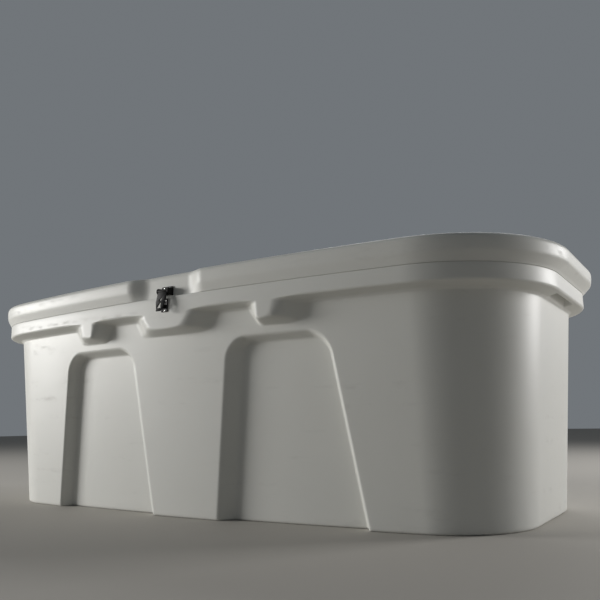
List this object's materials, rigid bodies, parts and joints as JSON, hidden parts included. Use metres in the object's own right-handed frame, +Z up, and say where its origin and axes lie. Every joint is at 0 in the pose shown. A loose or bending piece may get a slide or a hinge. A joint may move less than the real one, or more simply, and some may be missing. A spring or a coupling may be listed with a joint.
{
  "type": "insulated chest",
  "caption": "Long foam-insulated chest with a hinged lid, drafted bowed walls, sunk front panels, moulded grips, a small hasp latch and a screw-plug drain.",
  "frame": {"origin": "on the floor, under the middle of the whole chest", "axes": "+X along the length, the latch side faces -Y, +Z up"},
  "size_m": [1.632, 0.8266, 0.544],
  "materials": {
    "chest_plastic": "satin",
    "liner_plastic": "satin",
    "insulation_foam": "matte",
    "seal_rubber": "matte",
    "fitting_plastic": "satin",
    "stainless_steel": "satin",
    "latch_black": "satin"
  },
  "bodies": {
    "body": {"body_shell": "chest_plastic", "body_foam": "insulation_foam", "body_liner": "liner_plastic", "foam_fill_plugs": "fitting_plastic", "hinge_body_screws": "stainless_steel", "latch_staple": "latch_black", "latch_staple_screws": "stainless_steel", "drain_fitting": "fitting_plastic", "drain_gasket": "seal_rubber", "drain_nut": "fitting_plastic", "hinge_left_body_leaf": "stainless_steel", "hinge_middle_body_leaf": "stainless_steel", "hinge_right_body_leaf": "stainless_steel", "hinge_left_pin": "stainless_steel", "hinge_middle_pin": "stainless_steel", "hinge_right_pin": "stainless_steel"},
    "lid": {"lid_shell": "chest_plastic", "lid_foam": "insulation_foam", "lid_liner": "liner_plastic", "lid_gasket": "seal_rubber", "hinge_lid_screws": "stainless_steel", "latch_bracket": "latch_black", "latch_bracket_screws": "stainless_steel", "latch_pin": "stainless_steel", "hinge_left_lid_leaf": "stainless_steel", "hinge_middle_lid_leaf": "stainless_steel", "hinge_right_lid_leaf": "stainless_steel"},
    "latch": {"latch_hasp": "latch_black"},
    "drain_washer": {"drain_plug_washer": "seal_rubber"},
    "drain_plug": {"drain_plug": "fitting_plastic"}
  },
  "joints": [
    {"name": "lid_hinge", "type": "hinge", "parent": "body", "child": "lid", "pos_m": [0, 0.3975, 0.49225], "axis": [-1, 0, 0], "range_deg": [0, 100]},
    {"name": "latch_hinge", "type": "hinge", "parent": "lid", "child": "latch", "pos_m": [0, -0.3985, 0.504], "axis": [-1, 0, 0], "range_deg": [-18.4, 150]},
    {"name": "drain_plug_travel", "type": "slide", "parent": "body", "child": "drain_washer", "axis": [-1, 0, 0], "range_m": [0, 0.0161]},
    {"name": "drain_plug_turn", "type": "hinge", "parent": "drain_washer", "child": "drain_plug", "pos_m": [-0.74, 0, 0.084], "axis": [-1, 0, 0], "range_deg": [0, 1440]}
  ],
  "couplings": [
    {"joint": "drain_plug_travel", "follows": "drain_plug_turn", "m_per_rad": 0.00063662}
  ]
}
